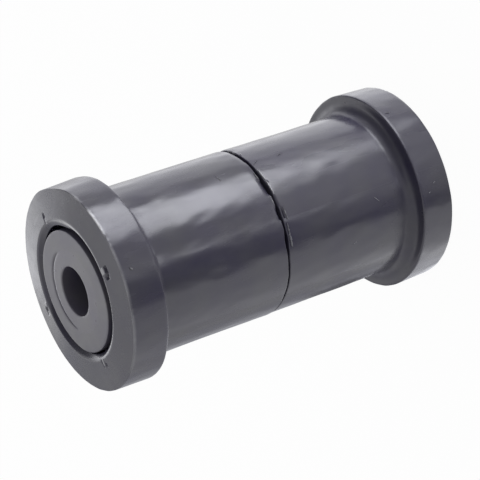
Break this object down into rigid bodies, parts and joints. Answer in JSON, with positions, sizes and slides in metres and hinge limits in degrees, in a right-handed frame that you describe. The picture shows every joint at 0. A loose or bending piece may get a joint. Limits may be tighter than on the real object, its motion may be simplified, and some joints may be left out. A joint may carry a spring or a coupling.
{
  "type": "rubber metal bush",
  "caption": "Rubber metal bush: flanged moulded rubber halves, butted at mid-length, on a rubber-coated steel tube that takes a bolt.",
  "frame": {"origin": "centre of the bush on the surface that the lower flange's lip stands on", "axes": "+Z along the bolt axis, upwards; +X and +Y through the mould marks on the flange faces"},
  "size_m": [0.0522, 0.0522, 0.0977],
  "materials": {
    "tube_steel": "steel under a thin dark grey bonding coat, satin",
    "core_rubber": "dark grey rubber, matt, with a faint violet cast",
    "moulded_rubber": "dark grey moulded rubber, matt on the faces, half-gloss and streaky on body and rims"
  },
  "bodies": {
    "root": {"inner_sleeve": "tube_steel", "core_ring": "core_rubber", "upper_rubber_half": "moulded_rubber", "lower_rubber_half": "moulded_rubber"}
  },
  "joints": []
}
